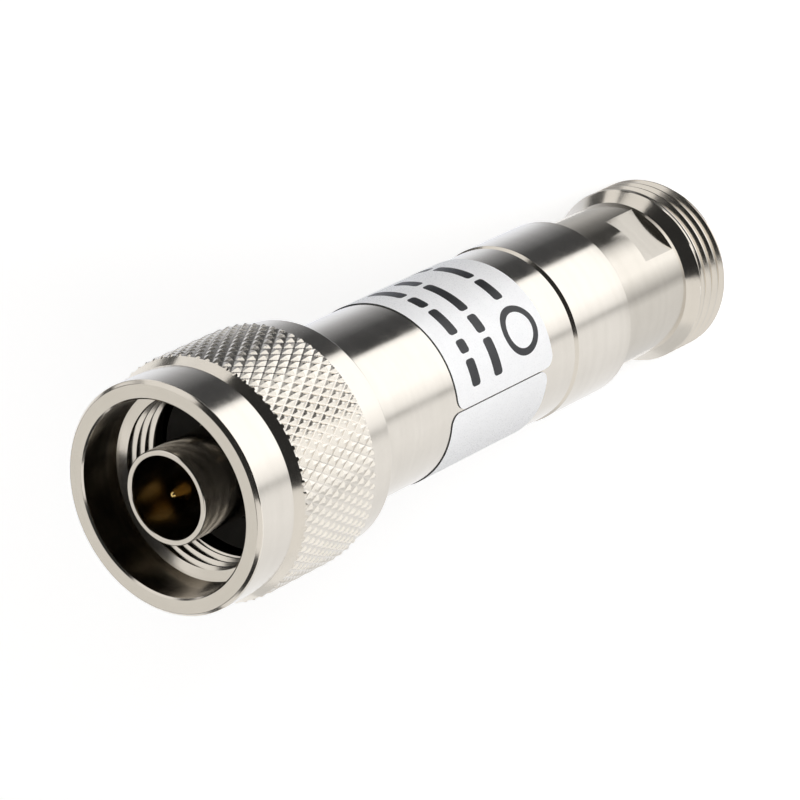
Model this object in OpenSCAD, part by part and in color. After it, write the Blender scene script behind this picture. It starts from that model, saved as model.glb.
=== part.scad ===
// Coaxial fixed attenuator with a type N plug at the top and a type N socket at the bottom.
// The axis is Z. The part stands on the end face of its socket, at z = 0. Sizes are in millimetres.

/* [Socket shell] */
// Outside diameter of the 5/8-24 thread, over its crests
thread_d = 15.875; // [15:0.005:17]
// Turns of the thread per inch
threads_per_inch = 24; // [20:1:28]
// Width of each groove of the thread, which is drawn as rings with blunt crests
thread_groove = 0.49; // [0.3:0.01:0.5]
// Length of the threaded end
thread_len = 4.45; // [3:0.05:9]
// Bevel on the open end of the thread
thread_bevel = 0.5; // [0.2:0.05:0.8]
// Diameter of the neck behind the thread
neck_d = 14; // [13.6:0.1:14.6]
// Length of the neck
neck_len = 10.15; // [8:0.05:20]
// Width across the two wrench flats
flat_across = 13; // [12.4:0.1:13.4]
// Length of each wrench flat along the axis
flat_len = 4.2; // [3:0.1:6.5]
// Distance from the thread's back bevel to the wrench flats
flat_offset = 0.4; // [0.2:0.1:1.2]
// Direction of the first wrench flat, round the axis
flat_turn = 90; // [0:1:180]
// Height of the collar's step above the housing that it meets
collar_step = 0.125; // [0.025:0.025:0.6]
// Length of the collar, with its bevel
collar_len = 8.32; // [6:0.02:14]
// Bevel on the collar's edge at the housing
collar_edge = 0.27; // [0.1:0.01:0.5]
// Diameter of the wide mouth
mouth_d = 8.8; // [8.5:0.1:10]
// Depth of the wide mouth
mouth_depth = 3; // [1.5:0.1:4]
// Diameter of the bore that takes a plug's outer contact
socket_bore_d = 8.2; // [8.15:0.01:8.4]
// Length of the spigot inside the housing
socket_spigot_len = 5.15; // [4:0.01:6]

/* [Housing] */
// Outside diameter of the housing sleeve
housing_d = 15.75; // [15:0.05:15.8]
// Length of the housing sleeve
housing_len = 28.28; // [25:0.02:40]
// Diameter of the spigots and of the card carrier inside the housing
spigot_d = 11.6; // [11:0.1:12.4]
// Bevel on the front edge of the housing
housing_bevel = 0.25; // [0.1:0.05:0.6]
// Bevel on the edge of the housing at the collar
housing_foot = 0.15; // [0.05:0.05:0.4]

/* [Coupling nut] */
// Length of the nut
nut_len = 17.45; // [17:0.05:20]
// Gap between the nut and the housing
nut_gap = 0.42; // [0.3:0.01:0.8]
// Diameter of the smooth collars before and behind the knurl
nut_collar_d = 19.65; // [19.2:0.05:19.8]
// Bevel on the nut's outer edges
nut_edge = 0.3; // [0.1:0.05:0.5]
// Bevel on the edge of the nut's mouth
nut_mouth_edge = 0.15; // [0.05:0.05:0.4]
// Length of the front collar
nut_collar_len = 4.25; // [3:0.05:6]
// Length of the slope from the front collar up to the knurl
knurl_slope = 0.85; // [0.5:0.05:1.2]
// Diameter over the points of the knurl
knurl_d = 20.9; // [20.6:0.05:22]
// Depth of the knurl
knurl_depth = 0.18; // [0.1:0.02:0.4]
// Length of the knurled band
knurl_len = 9.2; // [6:0.1:9.4]
// Diamonds round the nut
knurl_count = 68; // [40:2:80]
// Angle of the knurl's grooves to the axis
knurl_angle = 30; // [25:1:40]
// Diameter of the smooth mouth in front of the thread
nut_mouth_d = 16.5; // [16.2:0.1:17]
// Depth of the smooth mouth
nut_mouth_depth = 4.25; // [3:0.05:5.5]
// Drop of the flat cone that leads into the inside thread
nut_lead = 0.3; // [0.1:0.05:0.8]
// Diameter of the inside thread, drawn at its crests
nut_thread_d = 14.8; // [14.6:0.05:15.2]
// Length of the inside thread, with the cone in front of it
nut_thread_len = 3.85; // [2.5:0.05:4.6]
// Diameter of the relief behind the inside thread
nut_relief_d = 16; // [15.9:0.1:16.6]
// Distance from the gasket's seat down to the shoulder inside the nut
nut_floor_gap = 0.9; // [0.3:0.1:1.4]

/* [Plug shell] */
// Distance from the nut's front to the outer contact
contact_recess = 0.4; // [0.2:0.05:1]
// Outside diameter of the outer contact
contact_d = 8; // [7.9:0.02:8.1]
// Bore of the outer contact and of the coaxial line behind it
line_d = 7; // [6.8:0.05:7.2]
// Depth to which a mating socket enters
mate_depth = 9.1; // [8.5:0.05:9.2]
// Diameter of the boss that centres the gasket
boss_d = 9.2; // [9:0.1:10]
// Diameter of the hub that the nut turns on
hub_d = 13; // [12.7:0.05:13.2]
// Length of the spigot inside the housing
plug_spigot_len = 5.63; // [5:0.01:6.5]
// Thickness of the gasket
gasket_t = 1.2; // [0.8:0.1:1.4]
// Outside diameter of the gasket
gasket_d = 14.7; // [12:0.1:14.7]
// Distance from the hub's rear end to the retaining ring
ring_rise = 2.9; // [2:0.1:3.6]
// Thickness of the retaining ring
ring_t = 0.8; // [0.6:0.05:1]
// Inside diameter of the retaining ring
ring_bore_d = 12.2; // [12:0.05:12.4]
// Outside diameter of the retaining ring
ring_d = 13.9; // [13.6:0.05:14.2]
// Width of the split in the retaining ring
ring_split = 2; // [1:0.1:4]

/* [Line] */
// Diameter of the inner conductors
conductor_d = 3.04; // [2.9:0.01:3.1]
// Diameter of the plug's pin
pin_d = 1.62; // [1.6:0.01:1.68]
// Distance from the outer contact's front to the tip of the pin
pin_recess = 0.75; // [0.5:0.05:2]
// Distance from the outer contact's front to the pin's shoulder
pin_shoulder = 5.6; // [5.3:0.05:5.9]
// Length of the pin's tapered tip
pin_tip_len = 1.5; // [0.5:0.05:2]
// Diameter of the pin's round end
pin_tip_d = 0.6; // [0.3:0.05:0.8]
// Diameter of the hole in the socket contact
contact_hole_d = 1.64; // [1.62:0.01:1.7]
// Depth of the hole in the socket contact
contact_hole_len = 5; // [4.5:0.1:6]
// Length of the socket contact in front of the reference plane
contact_lead = 5; // [4.7:0.05:5.2]
// Width of the four slots in the socket contact
finger_slot = 0.25; // [0.15:0.05:0.3]
// Length of the four slots in the socket contact
finger_len = 4.4; // [3:0.1:4.5]
// Diameter of the insulating beads
bead_d = 8.4; // [8:0.1:9]
// Length of the insulating beads
bead_len = 3; // [2:0.1:3.4]
// Diameter of the conductor inside a bead
bead_bore_d = 2.6; // [2.2:0.05:2.8]
// Wall of the plug shell in front of its bead
bead_wall = 1; // [0.8:0.1:1.6]
// Distance from the reference plane of the socket to its bead
socket_bead_rise = 2.9; // [2:0.1:4]

/* [Attenuator card] */
// Width of the ceramic card
card_w = 6; // [5:0.1:6.4]
// Thickness of the ceramic card
card_t = 0.64; // [0.5:0.02:0.8]
// Width of the tab at each end of the card
tab_w = 2.4; // [1.8:0.1:2.8]
// Length of each tab
tab_len = 3.4; // [3.3:0.1:4]
// Thickness of the printed films
film_t = 0.05; // [0.03:0.01:0.08]
// Width of the resistor film
film_w = 2.6; // [1.6:0.1:2.8]
// Width of the ground strip along each edge of the card
ground_w = 1.2; // [0.8:0.1:1.3]
// Length of the inner conductors inside the card carrier
tail_len = 3; // [2.6:0.1:3.2]
// Length of the slot that grips a tab
grip_len = 2.4; // [1.8:0.1:2.5]
// Width of the air channel over the card
channel_w = 4.6; // [4:0.1:4.8]
// Height of the air channel over the card
channel_h = 2.3; // [1.8:0.1:2.8]

/* [Label] */
// Width of the label along the axis
label_w = 13.65; // [10:0.05:16]
// Distance from the joint with the socket shell to the label
label_rise = 3.58; // [2:0.02:6]
// Thickness of the label
label_t = 0.1; // [0.05:0.01:0.2]
// Axial shift of the label between its two ends
label_skew = 0.85; // [0:0.05:1.5]
// Gap at the seam of the label
label_seam = 0.12; // [0.05:0.01:0.4]
// Radius of the label's corners
label_corner = 1; // [0.5:0.1:2]
// Direction of the seam, round the axis
label_turn = -146; // [-180:1:180]

/* [Fits] */
// Radial clearance between the nut and the hub it turns on
run_gap = 0.05; // [0.03:0.01:0.08]
// Clearance between pieces that are pressed or screwed together
seat_gap = 0.02; // [0.01:0.005:0.03]
// Clearance of the retaining ring in its grooves
ring_gap = 0.1; // [0.05:0.01:0.15]

/* [Hidden] */
$fn = 96;
eps = 0.01;

// The thread is cut by grooves with the standard angle
thread_angle = 60;
thread_pitch = 25.4 / threads_per_inch;

// Heights along the axis, from the socket's end face up
thread_back = thread_len + (thread_d - neck_d) / 2;
collar_low = thread_back + neck_len;
joint_z = collar_low + collar_len;
housing_top = joint_z + housing_len;
nut_low = housing_top + nut_gap;
nut_top = nut_low + nut_len;
contact_z = nut_top - contact_recess;
gasket_top = contact_z - mate_depth;
hub_top = gasket_top - gasket_t;
plug_bead_top = hub_top - bead_wall;
plug_bead_low = plug_bead_top - bead_len;
plug_end = housing_top - plug_spigot_len;
socket_end = joint_z + socket_spigot_len;
socket_bead_low = mate_depth + socket_bead_rise;
socket_bead_top = socket_bead_low + bead_len;
plug_tail = plug_end - tail_len;
socket_tail = socket_end + tail_len;
card_top = plug_tail + grip_len - eps;
card_low = socket_tail - grip_len + eps;
ring_low = housing_top + ring_rise;

// Sizes that follow from others
collar_d = housing_d + 2 * collar_step;
slot_w = card_t + 2 * (film_t + seat_gap);

// Wall of the knurled band under its grooves, and the turned core's distance below them
band_wall = 0.5;
core_drop = 0.12;

// Colours
nickel = [0.80, 0.79, 0.76];
gold = [0.85, 0.66, 0.28];
ptfe = [0.94, 0.94, 0.92];

// A turned piece: the outline has radius first and height second
module turned(outline) {
    rotate_extrude() polygon(outline);
}

// A straight ring from z0 up to z1
module tube(outer_d, inner_d, z0, z1) {
    translate([0, 0, z0]) difference() {
        cylinder(d = outer_d, h = z1 - z0);
        translate([0, 0, -1]) cylinder(d = inner_d, h = z1 - z0 + 2);
    }
}

// The knurled band: pyramids on a lattice of half steps, where every second point is a tip
module knurled_band(z0, z1) {
    columns = 2 * knurl_count;
    half_step = 180 / knurl_count;
    diamond_h = PI * knurl_d / knurl_count / tan(knurl_angle);
    rows = round(2 * (z1 - z0) / diamond_h);
    tip_r = knurl_d / 2;
    groove_r = tip_r - knurl_depth;
    inner_r = groove_r - band_wall;
    function ring(r) = [for (i = [0 : columns - 1]) r * [cos(i * half_step), sin(i * half_step)]];
    function level(j) = z0 + (z1 - z0) * j / rows;
    function lattice_r(i, j) = (i + j) % 2 == 0 ? tip_r : groove_r;
    function at(i, j) = j * columns + i % columns;
    inner_low = (rows + 1) * columns;
    inner_top = inner_low + columns;
    function inside(i, base) = base + i % columns;
    unit = ring(1);
    points = concat(
        [for (j = [0 : rows]) for (i = [0 : columns - 1])
            [unit[i].x * lattice_r(i, j), unit[i].y * lattice_r(i, j), level(j)]],
        [for (p = ring(inner_r)) [p.x, p.y, z0]],
        [for (p = ring(inner_r)) [p.x, p.y, z1]]);
    // Each cell is split so that a groove runs along its diagonal
    skin = [for (j = [0 : rows - 1]) for (i = [0 : columns - 1])
        for (f = (i + j) % 2 == 0
            ? [[at(i, j), at(i, j + 1), at(i + 1, j)], [at(i + 1, j), at(i, j + 1), at(i + 1, j + 1)]]
            : [[at(i, j), at(i, j + 1), at(i + 1, j + 1)], [at(i, j), at(i + 1, j + 1), at(i + 1, j)]]) f];
    low_end = [for (i = [0 : columns - 1])
        for (f = [[at(i, 0), at(i + 1, 0), inside(i, inner_low)],
                  [at(i + 1, 0), inside(i + 1, inner_low), inside(i, inner_low)]]) f];
    top_end = [for (i = [0 : columns - 1])
        for (f = [[at(i, rows), inside(i, inner_top), at(i + 1, rows)],
                  [at(i + 1, rows), inside(i, inner_top), inside(i + 1, inner_top)]]) f];
    bore = [for (i = [0 : columns - 1])
        for (f = [[inside(i, inner_low), inside(i + 1, inner_low), inside(i, inner_top)],
                  [inside(i + 1, inner_low), inside(i + 1, inner_top), inside(i, inner_top)]]) f];
    polyhedron(points, concat(skin, low_end, top_end, bore), convexity = 4);
}

module coupling_nut() {
    collar_r = nut_collar_d / 2;
    knurl_top = nut_top - nut_collar_len - knurl_slope;
    knurl_low = knurl_top - knurl_len;
    core_r = knurl_d / 2 - knurl_depth - core_drop;
    slope_r = knurl_d / 2 - knurl_depth / 2;
    mouth_z = nut_top - nut_mouth_depth;
    relief_top = mouth_z - nut_thread_len;
    relief_low = hub_top - nut_floor_gap;
    bore_r = hub_d / 2 + run_gap;
    groove_r = ring_d / 2 + 2 * ring_gap;
    edge = nut_edge;
    core = [
        [bore_r, nut_low], [collar_r - edge, nut_low], [collar_r, nut_low + edge],
        [collar_r, knurl_low + eps], [core_r, knurl_low + 2 * eps],
        [core_r, knurl_top - 2 * eps], [slope_r, knurl_top - eps],
        [collar_r, nut_top - nut_collar_len], [collar_r, nut_top - edge], [collar_r - edge, nut_top],
        [nut_mouth_d / 2 + nut_mouth_edge, nut_top], [nut_mouth_d / 2, nut_top - nut_mouth_edge],
        [nut_mouth_d / 2, mouth_z], [nut_thread_d / 2, mouth_z - nut_lead],
        [nut_thread_d / 2, relief_top], [nut_relief_d / 2, relief_top],
        [nut_relief_d / 2, relief_low], [bore_r, relief_low],
        [bore_r, ring_low + ring_t + ring_gap], [groove_r, ring_low + ring_t + ring_gap],
        [groove_r, ring_low - ring_gap], [bore_r, ring_low - ring_gap]];
    color(nickel) union() {
        turned(core);
        knurled_band(knurl_low, knurl_top);
    }
}

module retaining_ring() {
    color([0.78, 0.62, 0.36]) difference() {
        tube(ring_d, ring_bore_d, ring_low, ring_low + ring_t);
        translate([0, -ring_split / 2, ring_low - 1]) cube([ring_d, ring_split, ring_t + 2]);
    }
}

module gasket() {
    color([0.13, 0.13, 0.14]) tube(gasket_d, boss_d + 2 * seat_gap, hub_top + seat_gap, gasket_top);
}

module plug_shell() {
    contact_edge = 0.1;
    groove_r = ring_bore_d / 2 - 2 * ring_gap;
    color(nickel) turned([
        [line_d / 2, contact_z], [contact_d / 2 - contact_edge, contact_z],
        [contact_d / 2, contact_z - contact_edge], [contact_d / 2, gasket_top - ring_gap],
        [boss_d / 2, gasket_top - ring_gap], [boss_d / 2, hub_top],
        [hub_d / 2, hub_top],
        [hub_d / 2, ring_low + ring_t + ring_gap], [groove_r, ring_low + ring_t + ring_gap],
        [groove_r, ring_low - ring_gap], [hub_d / 2, ring_low - ring_gap],
        [hub_d / 2, housing_top + seat_gap], [spigot_d / 2, housing_top + seat_gap],
        [spigot_d / 2, plug_end], [bead_d / 2, plug_end],
        [bead_d / 2, plug_bead_top], [line_d / 2, plug_bead_top]]);
}

// A slot across the end of a conductor, which grips a tab of the card
module grip_slot(z) {
    translate([-conductor_d, -slot_w / 2, z]) cube([2 * conductor_d, slot_w, grip_len + eps]);
}

module plug_pin() {
    tip_z = contact_z - pin_recess;
    shoulder_z = contact_z - pin_shoulder;
    tip_r = pin_tip_d / 2;
    dome = [for (a = [0 : 15 : 60]) [tip_r * sin(a), tip_z - tip_r + tip_r * cos(a)]];
    color(gold) difference() {
        turned(concat(dome, [
            [pin_d / 2, tip_z - pin_tip_len], [pin_d / 2, shoulder_z],
            [conductor_d / 2, shoulder_z], [conductor_d / 2, plug_bead_top],
            [bead_bore_d / 2, plug_bead_top], [bead_bore_d / 2, plug_bead_low],
            [conductor_d / 2, plug_bead_low], [conductor_d / 2, plug_tail], [0, plug_tail]]));
        grip_slot(plug_tail - eps);
    }
}

// An insulating bead with the slit through which it snaps over its conductor
module bead(low) {
    slit = 0.2;
    color(ptfe) difference() {
        tube(bead_d - 2 * seat_gap, bead_bore_d + 2 * seat_gap, low + seat_gap, low + bead_len - seat_gap);
        translate([0, -slit / 2, low - 1]) cube([bead_d, slit, bead_len + 2]);
    }
}

module plug_bead() {
    bead(plug_bead_low);
}

module plug_bush() {
    color(nickel) tube(bead_d - 2 * seat_gap, line_d, plug_end, plug_bead_low);
}

module housing() {
    outer_r = housing_d / 2;
    bore_r = spigot_d / 2 + seat_gap;
    foot_z = joint_z + seat_gap;
    color(nickel) turned([
        [bore_r, foot_z], [outer_r - housing_foot, foot_z], [outer_r, foot_z + housing_foot],
        [outer_r, housing_top - housing_bevel], [outer_r - housing_bevel, housing_top],
        [bore_r, housing_top]]);
}

// The label is a strip that goes once round the housing, a little skewed, with round corners at its seam
module label() {
    steps = 96;
    corner_steps = 8;
    seam_angle = label_seam / housing_d * 2 * 180 / PI;
    corner_angle = label_corner / housing_d * 2 * 180 / PI;
    span = 360 - seam_angle;
    step_angle = span / steps;
    inner_r = (housing_d / 2 + seat_gap) / cos(step_angle / 2);
    outer_r = inner_r + label_t;
    low = joint_z + label_rise;
    corner = [for (k = [0 : corner_steps - 1]) corner_angle * (1 - cos(90 * k / corner_steps))];
    middle = [for (k = [0 : steps]) corner_angle + (span - 2 * corner_angle) * k / steps];
    angles = concat(corner, middle, [for (k = [corner_steps - 1 : -1 : 0]) span - corner[k]]);
    last = len(angles) - 1;
    function inset(a) =
        let (reach = max(0, 1 - min(a, span - a) / corner_angle))
        label_corner * (1 - sqrt(1 - reach * reach));
    function shift(a) = label_skew * a / span;
    function corner_point(a, r, z) = [r * cos(a + label_turn), r * sin(a + label_turn), z];
    points = [for (a = angles) for (side = [0, 1]) for (r = [inner_r, outer_r])
        corner_point(a, r, low + shift(a) + (side == 0 ? inset(a) : label_w - inset(a)))];
    // Around each section: lower inner, lower outer, upper outer, upper inner
    order = [0, 1, 3, 2];
    sides = [for (k = [0 : last - 1]) for (m = [0 : 3])
        let (p = 4 * k + order[m], q = 4 * k + order[(m + 1) % 4])
        for (f = [[p, q, q + 4], [p, q + 4, p + 4]]) f];
    end = 4 * last;
    caps = [[0, 2, 3], [0, 3, 1], [end, end + 1, end + 3], [end, end + 3, end + 2]];
    color([0.90, 0.91, 0.93]) polyhedron(points, concat(sides, caps), convexity = 4);
}

// One half of the grounded block that clamps the card, on the side of +Y
module carrier_half() {
    low = socket_end + seat_gap;
    top = plug_end - seat_gap;
    well = tail_len + seat_gap + film_t;
    difference() {
        translate([0, 0, low]) cylinder(d = spigot_d - 2 * seat_gap, h = top - low);
        translate([-spigot_d, -spigot_d + seat_gap, low - 1]) cube([2 * spigot_d, spigot_d, top - low + 2]);
        translate([-channel_w / 2, -1, low - 1]) cube([channel_w, channel_h + 1, top - low + 2]);
        translate([-card_w / 2 - seat_gap, -1, low - 1])
            cube([card_w + 2 * seat_gap, slot_w / 2 + 1, top - low + 2]);
        translate([0, 0, low - 1]) cylinder(d = line_d, h = well + 1);
        translate([0, 0, top - well]) cylinder(d = line_d, h = well + 1);
    }
}

module carrier_a() {
    color(nickel) carrier_half();
}

module carrier_b() {
    color(nickel) mirror([0, 1, 0]) carrier_half();
}

// A flat block lying in the plane of the card, centred across it
module strip(x, w, y, t, z0, z1) {
    translate([x - w / 2, y, z0]) cube([w, t, z1 - z0]);
}

module attenuator_card() {
    color([0.93, 0.92, 0.88]) union() {
        strip(0, card_w, -card_t / 2, card_t, card_low + tab_len, card_top - tab_len);
        strip(0, tab_w, -card_t / 2, card_t, card_low, card_top);
    }
}

module resistor_film() {
    color([0.20, 0.20, 0.22])
        strip(0, film_w, card_t / 2, film_t, card_low + tab_len, card_top - tab_len);
}

module card_electrodes() {
    edge_x = (card_w - ground_w) / 2;
    color([0.86, 0.86, 0.84]) union() {
        strip(0, tab_w, card_t / 2, film_t, card_low, card_low + tab_len);
        strip(0, tab_w, card_t / 2, film_t, card_top - tab_len, card_top);
        for (side = [-1, 1])
            strip(side * edge_x, ground_w, card_t / 2, film_t, card_low + tab_len, card_top - tab_len);
    }
}

module socket_shell() {
    mouth_cone = (mouth_d - socket_bore_d) / 2;
    flat_low = thread_back + flat_offset;
    thread_r = thread_d / 2;
    root_r = thread_r - thread_groove / 2 / tan(thread_angle / 2);
    crest = thread_pitch - thread_groove;
    grooves = floor((thread_len - thread_bevel - eps) / thread_pitch);
    function groove(top) = [
        [thread_r, top - thread_groove], [root_r, top - thread_groove / 2], [thread_r, top]];
    thread = [for (k = [grooves - 1 : -1 : 0]) each groove(thread_len - crest - k * thread_pitch)];
    color(nickel) difference() {
        turned(concat([[mouth_d / 2, 0], [thread_r - thread_bevel, 0], [thread_r, thread_bevel]], thread, [
            [thread_r, thread_len], [neck_d / 2, thread_back],
            [neck_d / 2, collar_low], [collar_d / 2, collar_low],
            [collar_d / 2, joint_z - collar_edge], [collar_d / 2 - collar_edge, joint_z],
            [spigot_d / 2, joint_z], [spigot_d / 2, socket_end],
            [bead_d / 2, socket_end], [bead_d / 2, socket_bead_low],
            [line_d / 2, socket_bead_low], [line_d / 2, mate_depth],
            [socket_bore_d / 2, mate_depth], [socket_bore_d / 2, mouth_depth + mouth_cone],
            [mouth_d / 2, mouth_depth]]));
        for (side = [0, 180])
            rotate([0, 0, flat_turn + side])
                translate([flat_across / 2, -neck_d / 2, flat_low]) cube([neck_d, neck_d, flat_len]);
    }
}

module socket_contact() {
    tip_z = mate_depth - contact_lead;
    tip_edge = 0.2;
    color(gold) difference() {
        turned([
            [contact_hole_d / 2, tip_z], [conductor_d / 2 - tip_edge, tip_z],
            [conductor_d / 2, tip_z + tip_edge], [conductor_d / 2, socket_bead_low],
            [bead_bore_d / 2, socket_bead_low], [bead_bore_d / 2, socket_bead_top],
            [conductor_d / 2, socket_bead_top], [conductor_d / 2, socket_tail], [0, socket_tail],
            [0, tip_z + contact_hole_len], [contact_hole_d / 2, tip_z + contact_hole_len]]);
        for (turn = [45, 135])
            rotate([0, 0, turn])
                translate([-conductor_d, -finger_slot / 2, tip_z - 1])
                    cube([2 * conductor_d, finger_slot, finger_len + 1]);
        grip_slot(socket_tail - grip_len);
    }
}

module socket_bead() {
    bead(socket_bead_low);
}

module socket_bush() {
    color(nickel) tube(bead_d - 2 * seat_gap, line_d, socket_bead_top, socket_end);
}

coupling_nut();
retaining_ring();
gasket();
plug_shell();
plug_pin();
plug_bead();
plug_bush();
housing();
label();
carrier_a();
carrier_b();
attenuator_card();
resistor_film();
card_electrodes();
socket_shell();
socket_contact();
socket_bead();
socket_bush();
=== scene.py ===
"""Looks of the coaxial fixed attenuator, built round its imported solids.

The axis is Z, from the socket at the bottom to the plug at the top. Sizes below are in millimetres,
and each mesh is written in metres.
"""
import math

import bpy
import numpy as np
from mathutils import Matrix, Vector


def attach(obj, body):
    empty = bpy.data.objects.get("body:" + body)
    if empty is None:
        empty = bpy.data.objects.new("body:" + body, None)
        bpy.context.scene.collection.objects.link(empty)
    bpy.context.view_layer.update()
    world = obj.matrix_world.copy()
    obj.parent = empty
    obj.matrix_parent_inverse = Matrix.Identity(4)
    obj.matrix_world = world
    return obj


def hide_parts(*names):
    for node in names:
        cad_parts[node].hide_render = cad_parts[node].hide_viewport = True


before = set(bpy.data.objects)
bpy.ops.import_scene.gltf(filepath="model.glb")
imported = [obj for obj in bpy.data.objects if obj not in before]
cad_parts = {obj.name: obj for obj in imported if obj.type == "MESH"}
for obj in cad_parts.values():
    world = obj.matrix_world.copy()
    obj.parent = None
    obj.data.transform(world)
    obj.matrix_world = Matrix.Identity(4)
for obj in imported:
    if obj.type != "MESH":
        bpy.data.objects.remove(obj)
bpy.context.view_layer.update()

MM = 0.001
INCH = 25.4
SEAT_GAP = 0.02

# Socket shell, from its end face up. The crest and flank of a thread are shares of its pitch.
THREAD_R = 7.9375
THREAD_LEN = 4.45
THREAD_BEVEL = 0.5
THREAD_DEPTH = 0.649
THREAD_CREST = 0.125
THREAD_FLANK = 0.354
THREADS_PER_INCH = 24
PITCH = INCH / THREADS_PER_INCH
NECK_R = 7.0
NECK_LEN = 10.15
NECK_Z = THREAD_LEN + THREAD_R - NECK_R
FLAT_Y = 6.5
FLAT_OFFSET = 0.4
FLAT_LEN = 4.2
FLAT_LOW = NECK_Z + FLAT_OFFSET
FLAT_HIGH = FLAT_LOW + FLAT_LEN
COLLAR_R = 8.0
COLLAR_LEN = 8.32
COLLAR_LOW = NECK_Z + NECK_LEN
COLLAR_EDGE = 0.27
JOINT_Z = COLLAR_LOW + COLLAR_LEN
MOUTH_R = 4.4
MOUTH_DEPTH = 3.0
MOUTH_EDGE = 0.15
BORE_R = 4.1
LINE_R = 3.5
MATE_DEPTH = 9.1
SPIGOT_R = 5.8
BEAD_R = 4.2
SOCKET_BEAD_Z = 12.0
SOCKET_SPIGOT_LEN = 5.15
SOCKET_END = JOINT_Z + SOCKET_SPIGOT_LEN

# Housing and label
HOUSING_R = 7.875
HOUSING_LEN = 28.28
HOUSING_LOW = JOINT_Z + SEAT_GAP
HOUSING_TOP = JOINT_Z + HOUSING_LEN
HOUSING_FOOT = 0.15
HOUSING_BEVEL = 0.25
LABEL_RISE = 3.58
LABEL_LOW = JOINT_Z + LABEL_RISE
LABEL_WIDTH = 13.65
LABEL_SKEW = 0.85
LABEL_SEAM = 0.12
LABEL_CORNER = 1.0
LABEL_TURN = -146.0
LABEL_IN_R = HOUSING_R + 0.005
LABEL_OUT_R = HOUSING_R + 0.085

# Coupling nut
NUT_GAP = 0.42
NUT_LEN = 17.45
NUT_LOW = HOUSING_TOP + NUT_GAP
NUT_TOP = NUT_LOW + NUT_LEN
NUT_R = 9.825
NUT_EDGE = 0.3
NUT_MOUTH_EDGE = 0.15
NUT_COLLAR_LEN = 4.25
KNURL_SLOPE = 0.85
KNURL_TOP = NUT_TOP - NUT_COLLAR_LEN - KNURL_SLOPE
KNURL_LEN = 9.2
KNURL_LOW = KNURL_TOP - KNURL_LEN
KNURL_R = 10.45
KNURL_DEPTH = 0.18
KNURL_COUNT = 68
KNURL_ROWS = 11
KNURL_TIP = 0.8
KNURL_GROOVE = 0.05
NUT_MOUTH_R = 8.25
NUT_MOUTH_DEPTH = 4.25
NUT_MOUTH_Z = NUT_TOP - NUT_MOUTH_DEPTH
NUT_LEAD = 0.3
NUT_THREAD_R = 7.4
NUT_THREAD_LEN = 3.85
NUT_THREAD_DEPTH = 0.5
NUT_THREAD_CREST = 0.16
NUT_THREAD_FLANK = 0.273
NUT_THREAD_FADE = 0.25
RELIEF_R = 8.0
RELIEF_TOP = NUT_MOUTH_Z - NUT_THREAD_LEN
HUB_R = 6.5
RUN_GAP = 0.05
RING_RISE = 2.9
RING_THICK = 0.8
RING_LOW = HOUSING_TOP + RING_RISE
RING_TOP = RING_LOW + RING_THICK
RING_GAP = 0.1
GROOVE_LOW = RING_LOW - RING_GAP
GROOVE_TOP = RING_TOP + RING_GAP
NUT_GROOVE_R = 7.15
HUB_GROOVE_R = 5.9

# Plug shell
CONTACT_R = 4.0
CONTACT_RECESS = 0.4
CONTACT_Z = NUT_TOP - CONTACT_RECESS
GASKET_THICK = 1.2
GASKET_TOP = CONTACT_Z - MATE_DEPTH
HUB_TOP = GASKET_TOP - GASKET_THICK
NUT_FLOOR_GAP = 0.9
RELIEF_LOW = HUB_TOP - NUT_FLOOR_GAP
BOSS_R = 4.6
BOSS_DROP = 0.1
BOSS_TOP = GASKET_TOP - BOSS_DROP
BEAD_WALL = 1.0
PLUG_BEAD_TOP = HUB_TOP - BEAD_WALL
PLUG_SPIGOT_LEN = 5.63
PLUG_END = HOUSING_TOP - PLUG_SPIGOT_LEN

# Columns round the axis. The knurl has a whole number of them in each diamond.
COLUMNS = 4 * KNURL_COUNT
KNURL_FINE = 3

# Arc on a turned corner that gives none of its own, and the steps in each arc
SOFT_EDGE = 0.05
ARC_STEPS = 4


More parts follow.
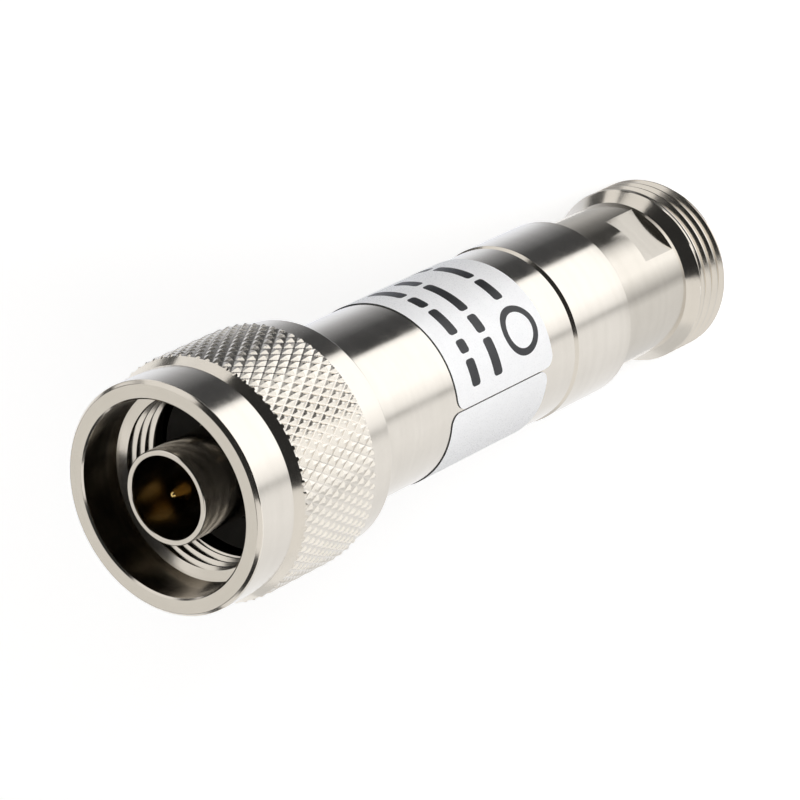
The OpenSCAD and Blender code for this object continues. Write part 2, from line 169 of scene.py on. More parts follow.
class Skin:
    """The points, known normals and faces of one piece, in millimetres."""

    def __init__(self):
        self.points = []
        self.normals = []
        self.faces = []
        self.marks = []

    def row(self, points, normals=None):
        """Adds a row of points and returns their numbers. A zero normal is worked out from the faces."""
        first = len(self.points)
        self.points.extend(np.asarray(points, float))
        self.normals.extend(np.zeros((len(points), 3)) if normals is None else np.asarray(normals, float))
        return np.arange(first, first + len(points))

    def face(self, corners, mark=0):
        self.faces.append([int(c) for c in corners])
        self.marks.append(mark)

    def bridge(self, a, b, mark=0, closed=True):
        """Faces between two rows. The longer row may have a whole number of points for each of the other."""
        if len(a) != len(b):
            self.bridge_uneven(a, b, mark)
            return
        last = len(a) if closed else len(a) - 1
        for j in range(last):
            k = (j + 1) % len(a)
            self.face((a[j], a[k], b[k], b[j]), mark)

    def bridge_uneven(self, a, b, mark):
        fine, coarse = (a, b) if len(a) > len(b) else (b, a)
        share = len(fine) // len(coarse)
        turn = 1 if len(a) > len(b) else -1
        for j in range(len(coarse)):
            k = (j + 1) % len(coarse)
            run = [fine[(j * share + s) % len(fine)] for s in range(share + 1)]
            half = share // 2
            fans = [(run[s], run[s + 1], coarse[j] if s < half else coarse[k]) for s in range(share)]
            fans.append((run[half], coarse[k], coarse[j]))
            for corners in fans:
                self.face(corners[::turn], mark)

    def weld(self):
        """Joins points that coincide and drops the faces that this closes up."""
        points = np.array(self.points)
        normals = np.array(self.normals)
        keys, first, where = np.unique(np.round(points, 5), axis=0, return_index=True, return_inverse=True)
        where = where.reshape(-1)
        merged = np.zeros((len(keys), 3))
        known = np.linalg.norm(normals, axis=1) > 0.5
        merged[where[known]] = normals[known]
        faces, marks = [], []
        for corners, mark in zip(self.faces, self.marks):
            kept = []
            for c in corners:
                w = int(where[c])
                if w not in kept:
                    kept.append(w)
            if len(kept) > 2:
                faces.append(kept)
                marks.append(mark)
        return points[first], merged, faces, marks

    def piece(self, name, body, node, materials, sharp=30.0):
        """Makes the Blender object, with sharp edges by angle and the known normals on top."""
        points, normals, faces, marks = self.weld()
        mesh = bpy.data.meshes.new(name)
        mesh.from_pydata((points * MM).tolist(), [], faces)
        for m in materials:
            mesh.materials.append(m)
        mesh.polygons.foreach_set("material_index", marks)
        mesh.polygons.foreach_set("use_smooth", [True] * len(faces))
        mesh.update()
        mesh.set_sharp_from_angle(angle=math.radians(sharp))
        known = np.linalg.norm(normals, axis=1) > 0.5
        nothing = (0.0, 0.0, 0.0)
        loops = []
        for corners in faces:
            sure = all(known[c] for c in corners)
            loops.extend(normals[c] if sure else nothing for c in corners)
        mesh.normals_split_custom_set([tuple(n) for n in loops])
        made = bpy.data.objects.new(name, mesh)
        bpy.context.scene.collection.objects.link(made)
        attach(made, body)
        if node:
            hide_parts(node)
        return made


def around(columns=COLUMNS):
    return np.arange(columns) * 2 * math.pi / columns


def ring(angles, r, z):
    """Points round the axis. Radius and height may each be a number or an array."""
    r = np.broadcast_to(r, angles.shape)
    z = np.broadcast_to(z, angles.shape)
    return np.stack([r * np.cos(angles), r * np.sin(angles), z], axis=1)


def softened(outline, closed):
    """The points of a turned outline with small arcs at its corners, each as (r, z, normal r, normal z).

    The outline goes round its solid with the solid on its left. A corner is (r, z) or (r, z, arc radius).
    """
    corners = [(*c, SOFT_EDGE)[:3] for c in outline]
    count = len(corners)
    flat = np.array([c[:2] for c in corners])
    ahead = np.roll(flat, -1, axis=0) - flat
    length = np.hypot(ahead[:, 0], ahead[:, 1])
    ahead = ahead / np.maximum(length, 1e-9)[:, None]
    out = []
    for i in range(count):
        inward, outward = ahead[i - 1], ahead[i]
        n_in = np.array([inward[1], -inward[0]])
        n_out = np.array([outward[1], -outward[0]])
        if not closed and i == 0:
            out.append((*flat[i], *n_out))
            continue
        if not closed and i == count - 1:
            out.append((*flat[i], *n_in))
            continue
        turn = math.atan2(inward[0] * outward[1] - inward[1] * outward[0], inward @ outward)
        reach = corners[i][2] * abs(math.tan(turn / 2))
        reach = min(reach, 0.45 * length[i - 1], 0.45 * length[i])
        radius = reach / max(abs(math.tan(turn / 2)), 1e-9)
        side = 1 if turn > 0 else -1
        start = flat[i] - reach * inward
        centre = start - side * radius * n_in
        for k in range(ARC_STEPS + 1):
            a = turn * k / ARC_STEPS
            n = np.array([n_in[0] * math.cos(a) - n_in[1] * math.sin(a),
                          n_in[0] * math.sin(a) + n_in[1] * math.cos(a)])
            out.append((*(centre + side * radius * n), *n))
    return out


def turned(skin, outline, closed=False, columns=COLUMNS, mark=0):
    """Turns an outline round the axis. Returns its first and last rows."""
    angles = around(columns)
    rows = []
    for r, z, nr, nz in softened(outline, closed):
        rows.append(skin.row(ring(angles, r, z), ring(angles, nr, nz)))
    for a, b in zip(rows, rows[1:] + rows[:1] if closed else rows[1:]):
        skin.bridge(a, b, mark)
    return rows[0], rows[-1]


def helix(skin, low, high, steps, radius_at, inside, columns=COLUMNS):
    """A threaded wall between two heights, with rows that run along the thread. Returns its end rows.

    steps are the places of the rows in one turn, as shares of the pitch, and radius_at(z, share) is the
    radius at a height, where share says how far the place is past a crest.
    """
    angles = around(columns)
    climb = PITCH * angles / (2 * math.pi)
    turns = math.ceil((high - low) / PITCH) + 2
    starts = [low - PITCH + PITCH * (t + s) for t in range(turns) for s in steps]
    rows = []
    for start in starts:
        z = np.clip(start + climb, low, high)
        share = ((z - climb - low) / PITCH) % 1.0
        rows.append(skin.row(ring(angles, radius_at(z, share), z)))
    for i in range(len(rows) - 1):
        a, b = rows[i], rows[i + 1]
        a_end = rows[min(i + len(steps), len(rows) - 1)]
        b_end = rows[min(i + 1 + len(steps), len(rows) - 1)]
        for j in range(columns):
            wrap = j + 1 == columns
            corners = (a[j], a_end[0] if wrap else a[j + 1], b_end[0] if wrap else b[j + 1], b[j])
            skin.face(corners[::-1] if inside else corners)
    return rows[0], rows[-1]


def trapezoid(share, crest, flank):
    """Depth of a thread below its crest, from 0 to 1, at a share of the pitch past the crest's start."""
    rise = np.clip((share - crest) / flank, 0, 1)
    fall = np.clip((1 - share) / flank, 0, 1)
    return np.minimum(rise, fall)


def thread_steps(crest, flank, cuts):
    """Places of rows along a thread's section: both ends of each flank, and cuts within it."""
    root = crest + flank
    back = 1 - flank
    flank_cuts = np.linspace(0, 1, cuts + 1)
    places = [0, *(crest + flank * flank_cuts), *(back + flank * flank_cuts[:-1])]
    places.append((root + back) / 2)
    return sorted(set(round(float(p), 6) for p in places))


def node(tree, kind, inputs, **settings):
    """A shader node with its settings, and with each input set to a value or linked to a socket."""
    made = tree.nodes.new(kind)
    for key, value in settings.items():
        setattr(made, key, value)
    for key, value in inputs.items():
        if isinstance(value, bpy.types.NodeSocket):
            tree.links.new(value, made.inputs[key])
        else:
            made.inputs[key].default_value = value
    return made


def noise(tree, vector, scale, detail=3.0, roughness=0.5):
    wanted = {"Vector": vector, "Scale": scale, "Detail": detail, "Roughness": roughness}
    return node(tree, "ShaderNodeTexNoise", wanted).outputs[0]


def between(tree, factor, low, high, start=0.35, end=0.65):
    """A number that goes from low to high as the factor goes from start to end."""
    wanted = {"Value": factor, "From Min": start, "From Max": end, "To Min": low, "To Max": high}
    return node(tree, "ShaderNodeMapRange", wanted).outputs[0]


def math_node(tree, operation, a, b):
    return node(tree, "ShaderNodeMath", {0: a, 1: b}, operation=operation).outputs[0]


def weighed(tree, a, a_share, b, b_share):
    """The sum of two numbers, each times its share."""
    first = math_node(tree, "MULTIPLY", a, a_share)
    second = math_node(tree, "MULTIPLY", b, b_share)
    return math_node(tree, "ADD", first, second)


def blend_colours(tree, factor, first, second):
    ramp = tree.nodes.new("ShaderNodeValToRGB")
    tree.links.new(factor, ramp.inputs[0])
    ramp.color_ramp.elements[0].position = 0.3
    ramp.color_ramp.elements[0].color = (*first, 1)
    ramp.color_ramp.elements[1].position = 0.7
    ramp.color_ramp.elements[1].color = (*second, 1)
    return ramp.outputs[0]


def new_material(name):
    made = bpy.data.materials.new(name)
    made.use_nodes = True
    tree = made.node_tree
    surface = tree.nodes["Principled BSDF"]
    place = node(tree, "ShaderNodeTexCoord", {}).outputs["Object"]
    return made, tree, surface, place


def set_bump(tree, surface, height, depth):
    wanted = {"Height": height, "Strength": 1.0, "Distance": depth * MM}
    bump = node(tree, "ShaderNodeBump", wanted)
    tree.links.new(bump.outputs[0], surface.inputs["Normal"])


def turned_metal(name, light, dark, smooth, rough, line_bump, grain_bump):
    """Plated metal off a lathe: fine rings left by the tool, a faint mottle and a grainy plating."""
    made, tree, surface, place = new_material(name)
    across = node(tree, "ShaderNodeVectorMath", {0: place, 1: (1, 1, 0)}, operation="MULTIPLY").outputs[0]
    radius = node(tree, "ShaderNodeVectorMath", {0: across}, operation="LENGTH").outputs["Value"]
    height = node(tree, "ShaderNodeSeparateXYZ", {0: place}).outputs["Z"]
    drift = noise(tree, place, 60.0, 1.0)
    shifted = math_node(tree, "MULTIPLY_ADD", drift, 0.00005)
    section = node(tree, "ShaderNodeCombineXYZ", {"X": radius, "Y": shifted, "Z": height}).outputs[0]
    lines = noise(tree, section, 7000.0, 4.0, 0.7)
    bands = noise(tree, section, 900.0, 2.0)
    mottle = noise(tree, place, 420.0, 4.0, 0.6)
    grain = noise(tree, place, 9000.0, 2.0, 0.7)
    tone = weighed(tree, bands, 0.5, mottle, 0.5)
    tree.links.new(blend_colours(tree, tone, dark, light), surface.inputs["Base Color"])
    wear = weighed(tree, mottle, 0.6, lines, 0.4)
    tree.links.new(between(tree, wear, smooth, rough), surface.inputs["Roughness"])
    surface.inputs["Metallic"].default_value = 1.0
    relief = weighed(tree, lines, line_bump, grain, grain_bump)
    set_bump(tree, surface, relief, 0.001)
    return made


def plain_solid(name, light, dark, roughness, grain_scale, grain_depth, spread=0.08):
    """A dull material with a mottled colour and a fine grain."""
    made, tree, surface, place = new_material(name)
    mottle = noise(tree, place, grain_scale * 0.12, 4.0, 0.6)
    grain = noise(tree, place, grain_scale, 3.0, 0.6)
    tree.links.new(blend_colours(tree, mottle, dark, light), surface.inputs["Base Color"])
    tree.links.new(between(tree, grain, roughness - spread, roughness + spread), surface.inputs["Roughness"])
    set_bump(tree, surface, grain, grain_depth)
    return made


nickel = turned_metal("nickel_plate", (0.765, 0.72, 0.65), (0.71, 0.665, 0.595), 0.11, 0.19, 0.8, 0.5)
# Painted shade: a darkened nickel for the nut's mouth wall and the plug's line bore, standing in for the
# shade inside these recesses
painted_shade_nickel = turned_metal("nickel_bore_painted_shade", (0.34, 0.30, 0.24), (0.28, 0.24, 0.19), 0.17, 0.27, 0.8, 0.5)
gold = turned_metal("gold_plate", (0.93, 0.68, 0.28), (0.84, 0.58, 0.21), 0.14, 0.24, 0.8, 0.5)
bronze = turned_metal("spring_bronze", (0.72, 0.50, 0.27), (0.60, 0.40, 0.20), 0.24, 0.38, 0.8, 0.8)
silver = plain_solid("silver_print", (0.80, 0.79, 0.76), (0.66, 0.65, 0.62), 0.42, 7000.0, 0.002)
rubber = plain_solid("gasket_rubber", (0.055, 0.052, 0.047), (0.040, 0.038, 0.034), 0.55, 6000.0, 0.004)
ptfe = plain_solid("insulator", (0.88, 0.88, 0.86), (0.80, 0.80, 0.78), 0.42, 5000.0, 0.002)
film = plain_solid("label_film", (0.91, 0.912, 0.922), (0.885, 0.888, 0.90), 0.32, 9000.0, 0.0012)
# Painted shadow: the label's edge walls are near black, standing in for the thin shadow along the label's
# edges
painted_edge_shadow = plain_solid("label_painted_edge_shadow", (0.05, 0.05, 0.05), (0.02, 0.02, 0.02), 0.6, 6000.0, 0.001)
ink = plain_solid("label_ink", (0.020, 0.020, 0.022), (0.012, 0.012, 0.014), 0.42, 8000.0, 0.001)
alumina = plain_solid("alumina", (0.88, 0.87, 0.82), (0.80, 0.79, 0.74), 0.6, 5000.0, 0.003)
resistor = plain_solid("resistor", (0.035, 0.035, 0.04), (0.02, 0.02, 0.024), 0.5, 7000.0, 0.002)


def knurl_height(turn, level):
    """Height of the knurl from 0 to 1. turn and level count half diamonds round and along the axis."""
    across = np.abs((turn + level + 1) % 2 - 1)
    along = np.abs((turn - level + 1) % 2 - 1)
    pyramid = 1 - np.maximum(across, along)
    return np.clip((pyramid - KNURL_GROOVE) / (KNURL_TIP - KNURL_GROOVE), 0, 1)


def make_nut():
    skin = Skin()
    front_z = NUT_TOP - NUT_COLLAR_LEN
    bore = HUB_R + RUN_GAP
    wall_top = NUT_TOP - NUT_MOUTH_EDGE - 0.1
    first, _ = turned(skin, [
        (NUT_R, front_z), (NUT_R, NUT_TOP - NUT_EDGE, 0.25), (NUT_R - NUT_EDGE, NUT_TOP, 0.12),
        (NUT_MOUTH_R + NUT_MOUTH_EDGE, NUT_TOP, 0.05), (NUT_MOUTH_R, NUT_TOP - NUT_MOUTH_EDGE, 0.05),
        (NUT_MOUTH_R, wall_top)])
    # The mouth wall takes the second material, the nickel darkened with painted shade
    _, mouth = turned(skin, [(NUT_MOUTH_R, wall_top), (NUT_MOUTH_R, NUT_MOUTH_Z)], mark=1)
    thread_top = NUT_MOUTH_Z - NUT_LEAD

    def thread_radius(z, share):
        fade = np.clip(np.minimum(z - RELIEF_TOP, thread_top - z) / NUT_THREAD_FADE, 0, 1)
        return NUT_THREAD_R + NUT_THREAD_DEPTH * trapezoid(share, NUT_THREAD_CREST, NUT_THREAD_FLANK) * fade

    steps = thread_steps(NUT_THREAD_CREST, NUT_THREAD_FLANK, 4)
    low, high = helix(skin, RELIEF_TOP, thread_top, steps, thread_radius, True)
    skin.bridge(mouth, high)
    inner, rear = turned(skin, [
        (NUT_THREAD_R, RELIEF_TOP), (RELIEF_R, RELIEF_TOP), (RELIEF_R, RELIEF_LOW), (bore, RELIEF_LOW),
        (bore, GROOVE_TOP), (NUT_GROOVE_R, GROOVE_TOP), (NUT_GROOVE_R, GROOVE_LOW), (bore, GROOVE_LOW),
        (bore, NUT_LOW), (NUT_R - NUT_EDGE, NUT_LOW, 0.1), (NUT_R, NUT_LOW + NUT_EDGE, 0.2),
        (NUT_R, KNURL_LOW)])
    skin.bridge(low, inner)
    angles = around(COLUMNS * KNURL_FINE)
    half_turn = math.pi / KNURL_COUNT
    half_rise = KNURL_LEN / KNURL_ROWS
    cells = KNURL_FINE * 2
    last_z = front_z - 0.06
    bottom = KNURL_R - KNURL_DEPTH
    foot = bottom + 0.05
    run_out = 1.2
    previous = rear
    for z in np.append(np.arange(KNURL_LOW, last_z, half_rise / cells), last_z):
        r = bottom + KNURL_DEPTH * knurl_height(angles / half_turn, (z - KNURL_LOW) / half_rise)
        slope = NUT_R + (front_z - z) * (foot - NUT_R) / KNURL_SLOPE
        slope = max(slope, foot + (KNURL_TOP - z) * run_out)
        heel = bottom + (z - KNURL_LOW)
        row = skin.row(ring(angles, np.minimum(r, min(slope, heel)) if z <= KNURL_TOP else slope, z))
        skin.bridge(previous, row)
        previous = row
    skin.bridge(previous, first)
    return skin.piece("nut", "nut", "coupling_nut", [nickel, painted_shade_nickel], 18.0)


def make_plug_shell():
    skin = Skin()
    bore_top = CONTACT_Z - 0.3
    hub_low = HOUSING_TOP + SEAT_GAP
    turned(skin, [
        (LINE_R, PLUG_BEAD_TOP), (BEAD_R, PLUG_BEAD_TOP), (BEAD_R, PLUG_END), (SPIGOT_R, PLUG_END),
        (SPIGOT_R, hub_low), (HUB_R, hub_low), (HUB_R, GROOVE_LOW), (HUB_GROOVE_R, GROOVE_LOW),
        (HUB_GROOVE_R, GROOVE_TOP), (HUB_R, GROOVE_TOP), (HUB_R, HUB_TOP), (BOSS_R, HUB_TOP),
        (BOSS_R, BOSS_TOP), (CONTACT_R, BOSS_TOP), (CONTACT_R, CONTACT_Z, 0.14), (LINE_R, CONTACT_Z, 0.08),
        (LINE_R, bore_top)])
    # The line bore takes the second material, the nickel darkened with painted shade
    turned(skin, [(LINE_R, bore_top), (LINE_R, PLUG_BEAD_TOP)], mark=1)
    return skin.piece("plug_body", "body", "plug_shell", [nickel, painted_shade_nickel])


def make_housing():
    skin = Skin()
    bore = SPIGOT_R + SEAT_GAP
    turned(skin, [
        (bore, HOUSING_LOW), (HOUSING_R - HOUSING_FOOT, HOUSING_LOW),
        (HOUSING_R, HOUSING_LOW + HOUSING_FOOT), (HOUSING_R, HOUSING_TOP - HOUSING_BEVEL, 0.15),
        (HOUSING_R - HOUSING_BEVEL, HOUSING_TOP, 0.1), (bore, HOUSING_TOP)], closed=True)
    return skin.piece("sleeve", "body", "housing", [nickel])


def flat_angles():
    """Columns for the socket shell, with four of them moved to the edges of the wrench flats."""
    angles = around()
    reach = math.acos(FLAT_Y / NECK_R)
    for side in (math.pi / 2, 3 * math.pi / 2):
        for edge in (side - reach, side + reach):
            angles[np.argmin(np.abs(angles - edge))] = edge
    return angles


def make_socket_shell():
    skin = Skin()
    plain_from, plain_to = THREAD_LEN - 0.5, THREAD_LEN - 0.1

    def thread_radius(z, share):
        fade = 1 - np.clip((z - plain_from) / (plain_to - plain_from), 0, 1)
        r = THREAD_R - THREAD_DEPTH * trapezoid(share, THREAD_CREST, THREAD_FLANK) * fade
        back = NECK_R + (NECK_Z - z)
        front = THREAD_R - THREAD_BEVEL + z
        return np.minimum(r, np.minimum(back, front))

    steps = thread_steps(THREAD_CREST, THREAD_FLANK, 5)
    low, high = helix(skin, 0.0, NECK_Z, steps, thread_radius, False)
    angles = flat_angles()
    tall = ring(angles, 1.0, 0.0)

    def neck_row(z, cut):
        points = ring(angles, NECK_R, z)
        if cut:
            points[:, 1] = np.clip(points[:, 1], -FLAT_Y, FLAT_Y)
            return skin.row(points)
        return skin.row(points, tall)

    rows = [high, neck_row(NECK_Z + 0.02, False), neck_row(FLAT_LOW, False), neck_row(FLAT_LOW, True),
            neck_row(FLAT_HIGH, True), neck_row(FLAT_HIGH, False), neck_row(COLLAR_LOW - 0.2, False)]
    for a, b in zip(rows, rows[1:]):
        skin.bridge(a, b)
    first, mouth = turned(skin, [
        (NECK_R, COLLAR_LOW - 0.1), (NECK_R, COLLAR_LOW, 0.04), (COLLAR_R, COLLAR_LOW, 0.12),
        (COLLAR_R, JOINT_Z - COLLAR_EDGE, 0.05), (COLLAR_R - COLLAR_EDGE, JOINT_Z, 0.05),
        (SPIGOT_R, JOINT_Z), (SPIGOT_R, SOCKET_END), (BEAD_R, SOCKET_END), (BEAD_R, SOCKET_BEAD_Z),
        (LINE_R, SOCKET_BEAD_Z), (LINE_R, MATE_DEPTH), (BORE_R, MATE_DEPTH),
        (BORE_R, MOUTH_DEPTH + MOUTH_R - BORE_R), (MOUTH_R, MOUTH_DEPTH), (MOUTH_R, MOUTH_EDGE, 0.1),
        (MOUTH_R + MOUTH_EDGE, 0.0, 0.1), (THREAD_R - THREAD_DEPTH - 0.15, 0.0)])
    skin.bridge(rows[-1], first)
    skin.bridge(mouth, low)
    return skin.piece("socket_body", "body", "socket_shell", [nickel], 15.0)


def strip(skin, degrees, low, high, inner, outer, cuts):
    """A thin strip on the housing. low and high are its edges' heights at each place round the axis."""
    sections = []
    for a, z0, z1 in zip(degrees, low, high):
        across = np.linspace(z0, z1, cuts + 1)
        z = np.concatenate([[z0], across, [z1]])
        r = np.concatenate([[inner], np.full(cuts + 1, outer), [inner]])
        angle = np.full(len(z), math.radians(a))
        sections.append(skin.row(ring(angle, r, z)))
    size = cuts + 3
    for a, b in zip(sections, sections[1:]):
        for k in range(size):
            m = (k + 1) % size
            # The side and end walls take the second material; on the label that is the painted edge shadow
            skin.face((a[k], b[k], b[m], a[m]), 0 if 0 < k < size - 2 else 1)
    skin.face(sections[0], 1)
    skin.face(sections[-1][::-1], 1)


def round_ends(start, length, corner, radius, middle):
    """Directions along a strip with round corners, close together at its ends, and the inset at each."""
    reach = math.degrees(corner / radius)
    ends = reach * (1 - np.cos(np.linspace(0, math.pi / 2, 9)))
    body = np.linspace(reach, length - reach, middle + 1)[1:-1]
    along = np.concatenate([ends, body, (length - ends)[::-1]])
    near = np.clip(1 - np.minimum(along, length - along) / reach, 0, 1)
    inset = corner * (1 - np.sqrt(1 - near ** 2))
    return start + along, inset


def make_label():
    skin = Skin()
    span = 360 - math.degrees(LABEL_SEAM / HOUSING_R)
    degrees, inset = round_ends(LABEL_TURN, span, LABEL_CORNER, HOUSING_R, 220)
    shift = LABEL_SKEW * (degrees - LABEL_TURN) / span
    low = LABEL_LOW + shift + inset
    high = LABEL_LOW + LABEL_WIDTH + shift - inset
    strip(skin, degrees, low, high, LABEL_IN_R, LABEL_OUT_R, 6)
    # All the label's edge walls get the painted edge shadow
    return skin.piece("label_strip", "body", "label", [film, painted_edge_shadow])


# The label's print is left generic: plain bars in three rows, and a plain ring
INK_IN_R = LABEL_OUT_R - 0.005
INK_OUT_R = LABEL_OUT_R + 0.008
PRINT_START = -135.5
BAR_HEIGHT = 1.15
BAR_GAP = 4.0
BAR_ROWS = [(38.35, 0.0, (17, 9, 21, 12, 26)), (35.2, 0.0, (24, 13, 31, 18)), (30.7, 42.0, (19, 27, 14))]
SYMBOL_TURN = -116.0
SYMBOL_Z = 30.75
SYMBOL_R = 2.25
SYMBOL_HOLE_R = 1.62


def print_lift(degrees):
    """The print follows the skew of the label."""
    return LABEL_SKEW * (degrees - SYMBOL_TURN) / 360


def make_print():
    skin = Skin()
    for z, offset, lengths in BAR_ROWS:
        start = PRINT_START + offset
        for length in lengths:
            corner = BAR_HEIGHT * 0.28
            degrees, inset = round_ends(start, length, corner, LABEL_OUT_R, max(4, length // 2))
            middle = z + print_lift(degrees)
            half = BAR_HEIGHT / 2 - inset
            strip(skin, degrees, middle - half, middle + half, INK_IN_R, INK_OUT_R, 1)
            start += length + BAR_GAP
    around_symbol = around(64)
    top = [(size, INK_OUT_R) for size in np.linspace(SYMBOL_R, SYMBOL_HOLE_R, 5)]
    rows = []
    for size, r in [(SYMBOL_R, INK_IN_R), *top, (SYMBOL_HOLE_R, INK_IN_R)]:
        turn = math.radians(SYMBOL_TURN) + size * np.cos(around_symbol) / LABEL_OUT_R
        z = SYMBOL_Z + size * np.sin(around_symbol)
        rows.append(skin.row(ring(turn, r, z)))
    for a, b in zip(rows, rows[1:] + rows[:1]):
        skin.bridge(a, b)
    return skin.piece("label_print", "body", None, [ink, ink])


make_nut()
make_plug_shell()
make_housing()
make_socket_shell()
make_label()
make_print()

CAD_FINISH = {
    "retaining_ring": bronze, "gasket": rubber, "plug_pin": gold, "plug_bead": ptfe, "plug_bush": nickel,
    "carrier_a": nickel, "carrier_b": nickel, "attenuator_card": alumina, "resistor_film": resistor,
    "card_electrodes": silver, "socket_contact": gold, "socket_bead": ptfe, "socket_bush": nickel}
for name, finish in CAD_FINISH.items():
    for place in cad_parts[name].material_slots:
        place.material = finish

# Camera: where it looks, how far away it is, and how it is turned, from the photo's perspective
CAMERA_AIM = Vector((-1.034, 0.469, 39.363))
CAMERA_DISTANCE = 384.17
CAMERA_TURN = math.radians(-114.416)
CAMERA_RISE = math.radians(48.560)
CAMERA_ROLL = math.radians(116.0)
LENS = 206.20
SENSOR = 36.0


def direction(turn, rise):
    """A direction from its angle round the axis and its angle above the floor, in radians."""
    level = math.cos(rise)
    return Vector((level * math.cos(turn), level * math.sin(turn), math.sin(rise)))


def make_camera():
    lens = bpy.data.cameras.new("camera")
    lens.lens = LENS
    lens.sensor_width = SENSOR
    made = bpy.data.objects.new("camera", lens)
    bpy.context.scene.collection.objects.link(made)
    back = direction(CAMERA_TURN, CAMERA_RISE)
    level = (-back).cross(Vector((0, 0, 1))).normalized()
    upright = back.cross(level)
    up = upright * math.cos(CAMERA_ROLL) + level * math.sin(CAMERA_ROLL)
    right = level * math.cos(CAMERA_ROLL) - upright * math.sin(CAMERA_ROLL)
    place = (CAMERA_AIM + back * CAMERA_DISTANCE) * MM
    made.matrix_world = Matrix.Translation(place) @ Matrix((right, up, back)).transposed().to_4x4()
    bpy.context.scene.camera = made


def seen_straight(tree):
    """1 for rays from the camera and for rays off metal or through glass, and 0 for diffuse light."""
    path = node(tree, "ShaderNodeLightPath", {})
    straight = math_node(tree, "MAXIMUM", path.outputs["Is Camera Ray"], path.outputs["Is Glossy Ray"])
    return math_node(tree, "MAXIMUM", straight, path.outputs["Is Transmission Ray"])


# Strength of the world as light on the part, and as seen directly or off metal
WORLD_LIGHT = 0.4
WORLD_SEEN = 0.95
FLOOR_GLOW = 0.52
FLOOR_HALF = 1500.0


def make_world():
    world = bpy.data.worlds.new("studio")
    world.use_nodes = True
    bpy.context.scene.world = world
    tree = world.node_tree
    light = tree.nodes["Background"]
    light.inputs["Color"].default_value = (1.0, 0.985, 0.965, 1)
    strength = between(tree, seen_straight(tree), WORLD_LIGHT, WORLD_SEEN, 0.0, 1.0)
    tree.links.new(strength, light.inputs["Strength"])


def link_stage(name, points, faces, materials):
    mesh = bpy.data.meshes.new(name)
    mesh.from_pydata((np.asarray(points) * MM).tolist(), [], faces)
    for m in materials:
        mesh.materials.append(m)
    made = bpy.data.objects.new(name, mesh)
    bpy.context.scene.collection.objects.link(made)
    return made


def make_floor():
    made, tree, surface, _ = new_material("floor")
    surface.inputs["Base Color"].default_value = (0.84, 0.84, 0.84, 1)
    surface.inputs["Roughness"].default_value = 0.9
    surface.inputs["Specular IOR Level"].default_value = 0.1
    surface.inputs["Emission Color"].default_value = (1, 1, 1, 1)
    glow = math_node(tree, "MULTIPLY", seen_straight(tree), FLOOR_GLOW)
    tree.links.new(glow, surface.inputs["Emission Strength"])
    half = FLOOR_HALF
    corners = [(-half, -half, 0), (half, -half, 0), (half, half, 0), (-half, half, 0)]
    link_stage("floor", corners, [(0, 1, 2, 3)], [made])


def card_material(name, colour):
    """A card that shines with its own attribute 'level', so that the light on it can fade across it."""
    made = bpy.data.materials.new(name)
    made.use_nodes = True
    tree = made.node_tree
    tree.nodes.remove(tree.nodes["Principled BSDF"])
    level = node(tree, "ShaderNodeAttribute", {}, attribute_name="level").outputs["Fac"]
    glow = node(tree, "ShaderNodeEmission", {"Color": (*colour, 1), "Strength": level})
    tree.links.new(glow.outputs[0], tree.nodes["Material Output"].inputs["Surface"])
    return made


def make_card(name, rows, levels, colour):
    """A card given by rows of points, with one light level for each row, that only reflections show."""
    count = len(rows[0])
    points = np.concatenate(rows)
    faces = [(i * count + j, i * count + j + 1, (i + 1) * count + j + 1, (i + 1) * count + j)
             for i in range(len(rows) - 1) for j in range(count - 1)]
    made = link_stage(name, points, faces, [card_material(name, colour)])
    level = made.data.attributes.new("level", "FLOAT", "POINT")
    level.data.foreach_set("value", np.repeat(np.asarray(levels, float), count))
    made.visible_camera = False
    made.visible_diffuse = False
    made.visible_transmission = False
    made.visible_volume_scatter = False
    made.visible_shadow = False
    return made


# Directions round the axis as the photo shows them: 0 is the upper edge, and they count clockwise
# seen from the plug
PHOTO_ZERO = -44.5


def photo_turn(phi):
    return math.radians(PHOTO_ZERO - phi)


def floor_card(name, stops, colour, near, far):
    """A card on the floor that a wall of the part mirrors, with levels at stops round the axis.

    near and far are its distances from the wall: a low wall mirrors the floor close by, and a high
    one farther.
    """
    phis, levels = [], []
    for (p0, l0), (p1, l1) in zip(stops, stops[1:]):
        cuts = max(2, int((p1 - p0) / 2))
        phis.extend(np.linspace(p0, p1, cuts, endpoint=False))
        levels.extend(np.linspace(l0, l1, cuts, endpoint=False))
    phis.append(stops[-1][0])
    levels.append(stops[-1][1])
    reach = np.linspace(near, far, 4)
    lift = 0.3
    rows = []
    for phi in phis:
        wall = photo_turn(phi)
        away = 2 * wall - CAMERA_TURN
        x = HOUSING_R * math.cos(wall) + reach * math.cos(away)
        y = HOUSING_R * math.sin(wall) + reach * math.sin(away)
        rows.append(np.stack([x, y, np.full(len(reach), lift)], axis=1))
    make_card(name, rows, levels, colour)


def flat_card(name, level, colour):
    """A card on the floor where the wrench flat that the photo shows mirrors it."""
    flat_half = math.sqrt(NECK_R ** 2 - FLAT_Y ** 2)
    away = -math.pi - CAMERA_TURN
    lift = 0.5
    rows = []
    for height, widen in ((FLAT_LOW * 0.8, 1.2), (FLAT_HIGH * 0.89, 1.0)):
        reach = height / math.tan(CAMERA_RISE)
        half = flat_half * widen
        x, y = reach * math.cos(away), -FLAT_Y + reach * math.sin(away)
        rows.append(np.array([(x - half, y, lift), (x + half, y, lift)]))
    make_card(name, rows, [level] * len(rows), colour)


def standing_card(name, phi_from, phi_to, low, high, distance, level, colour):
    """A card that stands round the part between two heights."""
    rows = []
    turns = np.array([photo_turn(p) for p in np.linspace(phi_from, phi_to, 40)])
    for height in np.linspace(low, high, 8):
        rows.append(ring(turns, distance, height))
    make_card(name, rows, [level] * len(rows), colour)


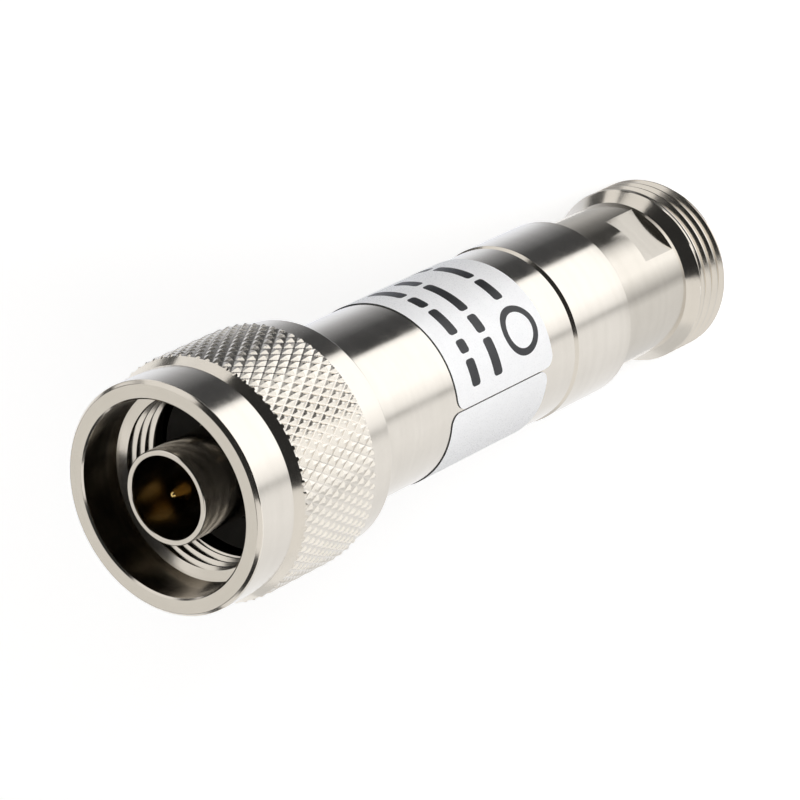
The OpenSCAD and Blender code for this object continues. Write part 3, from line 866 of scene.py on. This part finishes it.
def overhead_card(name, phi_from, phi_to, height, radius, level, colour):
    """A round card above the part, or a sector of one."""
    turns = np.array([photo_turn(p) for p in np.linspace(phi_from, phi_to, 49)])
    rows = [ring(turns, r, height) for r in (1.0, radius)]
    make_card(name, rows, [level] * len(rows), colour).visible_diffuse = True


LAMP_AIM_Z = 35.0


def make_lamp(name, turn, rise, distance, size, power):
    """A round soft lamp that lights the middle of the part and isn't mirrored in it."""
    lamp = bpy.data.lights.new(name, "AREA")
    lamp.shape = "DISK"
    lamp.size = size * MM
    lamp.energy = power
    made = bpy.data.objects.new(name, lamp)
    bpy.context.scene.collection.objects.link(made)
    away = direction(math.radians(turn), math.radians(rise))
    place = (away * distance + Vector((0, 0, LAMP_AIM_Z))) * MM
    made.matrix_world = Matrix.Translation(place) @ away.to_track_quat("Z", "Y").to_matrix().to_4x4()
    made.visible_glossy = False


make_camera()
make_world()
make_floor()

# Cards round the part, as the metal mirrors them. Each level is a strength, where 1 is white.
NEUTRAL = (1.0, 1.0, 1.0)
COOL = (0.95, 0.98, 1.05)
PALE = (1.0, 1.005, 1.02)
WARM = (1.0, 0.985, 0.955)
BLACK = 0.03
NECK_REACH = 12.2
FAR_REACH = 110.0
CARD_FOOT = 0.6
CARD_R = 240.0
MOUTH_CARD_R = 60.0
ROOF_Z = 460.0
SHADE_STOPS = [
    (-20, 1.0), (-3, 0.98), (3, 0.85), (9, 0.57), (15, 0.35), (21, 0.2), (27, 0.08), (42.5, 0.055)]
WALL_STOPS = [
    (42.5, 0.9), (45, 1.5), (72, 1.5), (80, 1.24), (83, 1.05), (85.7, 0.6), (88, 0.85), (90.5, 1.02),
    (102, 1.02), (120, 0.93), (135, 0.95), (156, 1.02)]
NECK_STOPS = [
    (-10, 0.55), (6, 0.49), (18, 0.22), (30, 0.06), (40.5, 0.06), (48, 0.84), (53, 1.17), (58, 1.32),
    (72, 1.32), (84, 0.71), (88.5, 0.5), (96, 0.83), (150, 0.74)]
floor_card("shade_card", SHADE_STOPS, COOL, NECK_REACH, FAR_REACH)
floor_card("wall_card", WALL_STOPS, PALE, NECK_REACH, FAR_REACH)
floor_card("neck_card", NECK_STOPS, NEUTRAL, 0.0, NECK_REACH)
flat_card("flat_card", 0.94, NEUTRAL)
standing_card("dark_card", 6, 107, CARD_FOOT, ROOF_Z, CARD_R, BLACK, NEUTRAL)
standing_card("high_dark_card", -10, 7, 290.0, ROOF_Z, CARD_R - 1, BLACK, NEUTRAL)
standing_card("side_card", -64, -40, 2.0, 64.0, CARD_R - 4, 0.08, NEUTRAL)
standing_card("high_side_card", -54, -39, 110.0, 195.0, CARD_R - 4, 0.35, NEUTRAL)
standing_card("low_dark_card", -160, -60, 45.0, 160.0, CARD_R, 0.04, NEUTRAL)
standing_card("low_left_card", -25, 32, CARD_FOOT, 45.0, 130.0, 0.12, NEUTRAL)
standing_card("low_right_card", 155, 205, CARD_FOOT, 40.0, 110.0, 0.72, NEUTRAL)
standing_card("mouth_left_card", -72, -46, 80.0, 112.0, MOUTH_CARD_R, BLACK, NEUTRAL)
standing_card("mouth_right_card", 148, 208, 80.0, 118.0, MOUTH_CARD_R, BLACK, NEUTRAL)
standing_card("back_card", -155, -64, 280.0, 560.0, 300.0, 0.8, WARM)
overhead_card("overhead_card", 0, 360, ROOF_Z, 185.0, BLACK, NEUTRAL)
overhead_card("roof_card", -10, 122, ROOF_Z + 1, 250.0, BLACK, NEUTRAL)
make_lamp("key", -118.0, 36.0, 700.0, 500.0, 3.5)
bpy.context.scene.view_settings.view_transform = "Standard"
